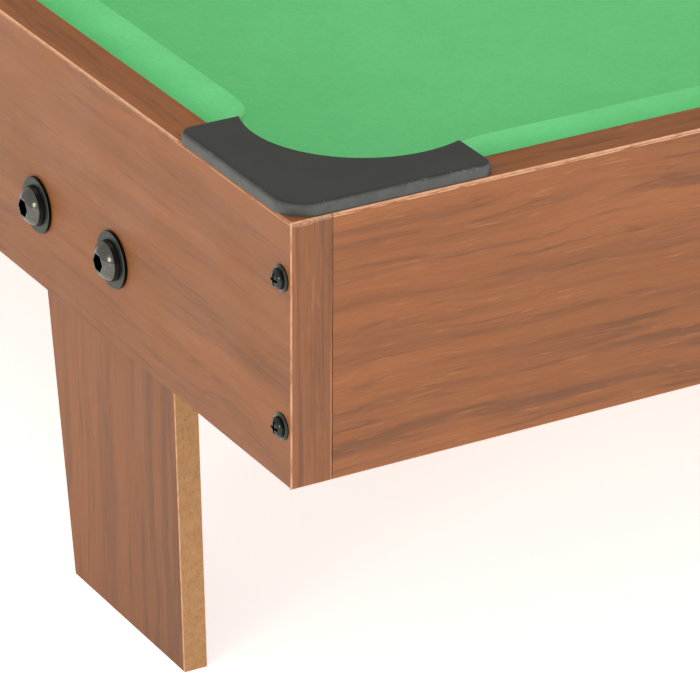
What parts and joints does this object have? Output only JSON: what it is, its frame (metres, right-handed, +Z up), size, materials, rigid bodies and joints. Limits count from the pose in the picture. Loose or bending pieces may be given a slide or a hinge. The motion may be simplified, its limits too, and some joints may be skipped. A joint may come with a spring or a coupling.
{
  "type": "mini pool table",
  "caption": "Low table-top pool table with wood-foil rails, green cloth bed and cushions, moulded pocket caps, catch cups and bolted tapered board legs.",
  "frame": {"origin": "on the floor under the centre of the table", "axes": "+X along the length, +Y across the width from the front rail to the back rail, +Z up"},
  "size_m": [0.92, 0.5306, 0.19],
  "materials": {
    "panel_foil": "brown wood-grain foil on fibreboard, satin",
    "edge_band": "brown wood-grain edge strip with upright grain, satin",
    "leg_board": "brown wood-grain foil on the wide faces, raw fibreboard edges",
    "bed_fibreboard": "raw fibreboard",
    "cleat_pine": "planed pine, unfinished",
    "bed_cloth": "green napped cloth",
    "cushion_cloth": "green napped cloth stretched over the cushion",
    "cushion_rubber": "dark foamed rubber",
    "cap_plastic": "black moulded plastic, fine texture",
    "cup_plastic": "black moulded plastic",
    "black_steel": "black oxide steel",
    "zinc_steel": "zinc plated steel"
  },
  "bodies": {
    "root": {"bed_board": "bed_fibreboard", "bed_cloth": "bed_cloth", "bed_screws": "zinc_steel", "cleat_screws": "zinc_steel", "corner_cap_back_left": "cap_plastic", "corner_cap_back_right": "cap_plastic", "corner_cap_front_left": "cap_plastic", "corner_cap_front_right": "cap_plastic", "corner_screws_back_left": "black_steel", "corner_screws_back_right": "black_steel", "corner_screws_front_left": "black_steel", "corner_screws_front_right": "black_steel", "cup_screws": "zinc_steel", "cushion_core_back_left": "cushion_rubber", "cushion_core_back_right": "cushion_rubber", "cushion_core_front_left": "cushion_rubber", "cushion_core_front_right": "cushion_rubber", "cushion_core_left_end": "cushion_rubber", "cushion_core_right_end": "cushion_rubber", "cushion_cover_back_left": "cushion_cloth", "cushion_cover_back_right": "cushion_cloth", "cushion_cover_front_left": "cushion_cloth", "cushion_cover_front_right": "cushion_cloth", "cushion_cover_left_end": "cushion_cloth", "cushion_cover_right_end": "cushion_cloth", "edge_bands": "edge_band", "end_cleat_left": "cleat_pine", "end_cleat_right": "cleat_pine", "end_panel_left": "panel_foil", "end_panel_right": "panel_foil", "leg_back_left": "leg_board", "leg_back_right": "leg_board", "leg_bolts_back_left": "black_steel", "leg_bolts_back_right": "black_steel", "leg_bolts_front_left": "black_steel", "leg_bolts_front_right": "black_steel", "leg_front_left": "leg_board", "leg_front_right": "leg_board", "leg_washers_back_left": "black_steel", "leg_washers_back_right": "black_steel", "leg_washers_front_left": "black_steel", "leg_washers_front_right": "black_steel", "pocket_cup_back_left": "cup_plastic", "pocket_cup_back_middle": "cup_plastic", "pocket_cup_back_right": "cup_plastic", "pocket_cup_front_left": "cup_plastic", "pocket_cup_front_middle": "cup_plastic", "pocket_cup_front_right": "cup_plastic", "side_cap_back": "cap_plastic", "side_cap_front": "cap_plastic", "side_cleat_back_left": "cleat_pine", "side_cleat_back_right": "cleat_pine", "side_cleat_front_left": "cleat_pine", "side_cleat_front_right": "cleat_pine", "side_panel_back": "panel_foil", "side_panel_front": "panel_foil", "tee_nuts": "zinc_steel"}
  },
  "joints": []
}
